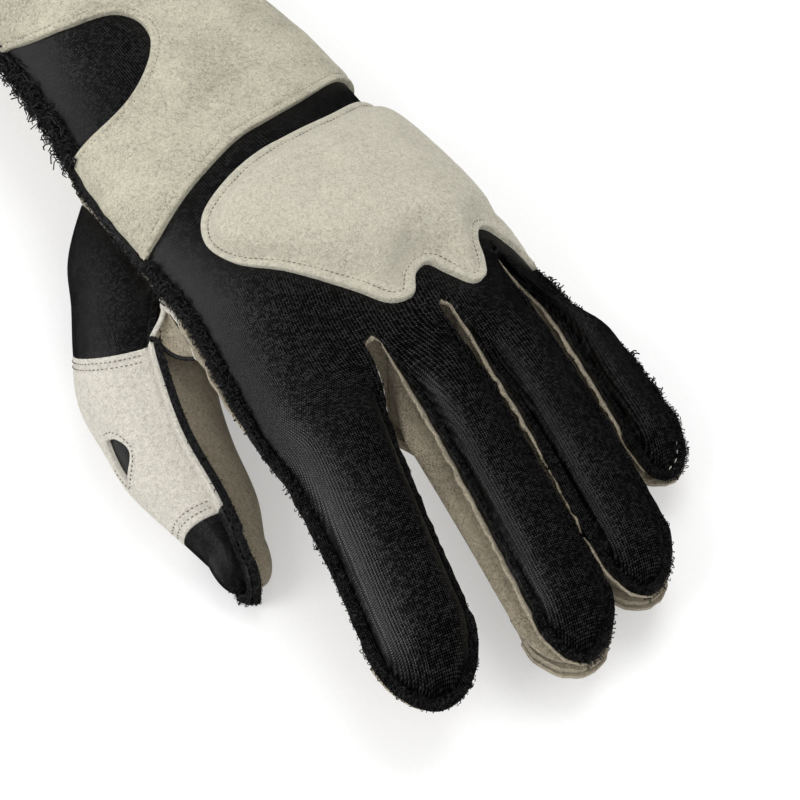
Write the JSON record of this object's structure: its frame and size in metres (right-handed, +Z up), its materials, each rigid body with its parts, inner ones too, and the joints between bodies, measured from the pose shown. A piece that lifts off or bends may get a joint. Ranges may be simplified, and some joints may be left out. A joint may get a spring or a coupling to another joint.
{
  "type": "racing glove",
  "caption": "Left-hand racing glove lying palm down: knitted back, suede palm, finger walls, thumb and long cuff, padded knuckle patch, outside seams.",
  "frame": {"origin": "on the surface that the glove rests on, under the middle of its own box", "axes": "+Z up, fingertips towards -Y, open cuff towards +Y, thumb towards -X"},
  "size_m": [0.122, 0.2592, 0.0485],
  "materials": {
    "knit": "matt black stretch knit with fine ribs",
    "suede": "matt pale grey-beige suede"
  },
  "bodies": {
    "root": {"palm_panel": "suede", "fourchette_index_middle": "suede", "fourchette_middle_ring": "suede", "fourchette_ring_little": "suede", "knuckle_pad": "suede", "cuff_panel": "suede", "thumb_back_panel": "suede", "thumb_palm_panel": "suede", "back_panel": "knit", "thumb_base_panel": "knit", "thumb_inset": "knit", "thumb_tip_cap": "knit"}
  },
  "joints": []
}
